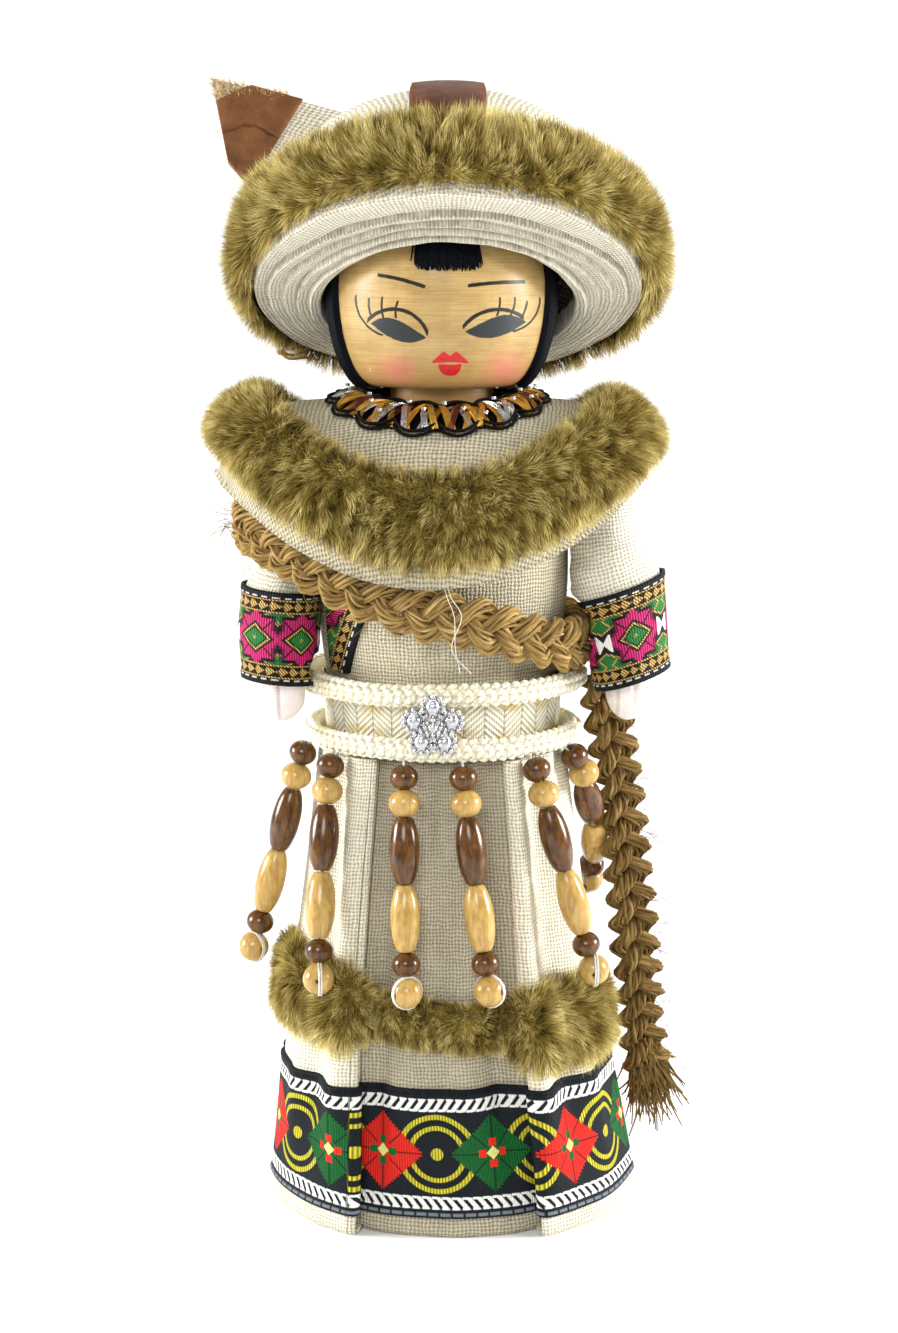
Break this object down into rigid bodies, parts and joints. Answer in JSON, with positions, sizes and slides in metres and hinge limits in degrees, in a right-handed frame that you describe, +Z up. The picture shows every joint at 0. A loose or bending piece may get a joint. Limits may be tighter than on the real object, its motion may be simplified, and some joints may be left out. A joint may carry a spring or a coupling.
{
  "type": "folk costume doll",
  "caption": "Standing folk doll with a turned wooden head, fur-trimmed linen hat and cape, jute sash, beaded belt and pleated skirt.",
  "frame": {"origin": "centre of the skirt's flat underside, on the surface that the doll stands on", "axes": "+Z up through the head, -Y the way the doll faces, +X to the right as one looks at its face"},
  "size_m": [0.1031, 0.0846, 0.2287],
  "materials": {
    "linen": "plain woven natural linen, matte",
    "fur": "olive-gold pile, matte with soft sheen",
    "jute": "braided jute yarn, matte",
    "woven_ribbon": "jacquard ribbon, slight sheen",
    "cream_cotton": "cream cotton tape and cord, matte",
    "turned_wood": "turned and lacquered pale wood, satin",
    "bead_wood": "lacquered wooden beads, gloss",
    "black_hair": "black thread, slight sheen",
    "brown_leather": "brown leather, satin",
    "pink_satin": "pale pink satin, soft sheen",
    "silver_cast": "silver-coloured cast trim, bright",
    "gold_trim": "black and gold braid with metallic thread"
  },
  "bodies": {
    "root": {"bead_string_1": "bead_wood", "bead_string_2": "bead_wood", "bead_string_3": "bead_wood", "bead_string_4": "bead_wood", "bead_string_5": "bead_wood", "bead_string_6": "bead_wood", "belt_cord_bottom": "cream_cotton", "belt_cord_top": "cream_cotton", "belt_flower": "silver_cast", "belt_tape": "cream_cotton", "bodice": "linen", "cape": "linen", "cape_fur": "fur", "cuff_left": "woven_ribbon", "cuff_right": "woven_ribbon", "fringe": "black_hair", "hair": "black_hair", "hand_left": "pink_satin", "hand_right": "pink_satin", "hat_brim": "linen", "hat_crown": "linen", "hat_flap": "linen", "hat_flap_leather": "brown_leather", "hat_fur": "fur", "hat_strip": "brown_leather", "head": "turned_wood", "jute_tail": "jute", "jute_tuft": "jute", "neck_trim": "gold_trim", "sash": "jute", "side_ribbon": "woven_ribbon", "skirt": "linen", "skirt_fur": "fur", "skirt_ribbon": "woven_ribbon", "sleeve_left": "linen", "sleeve_right": "linen"}
  },
  "joints": []
}
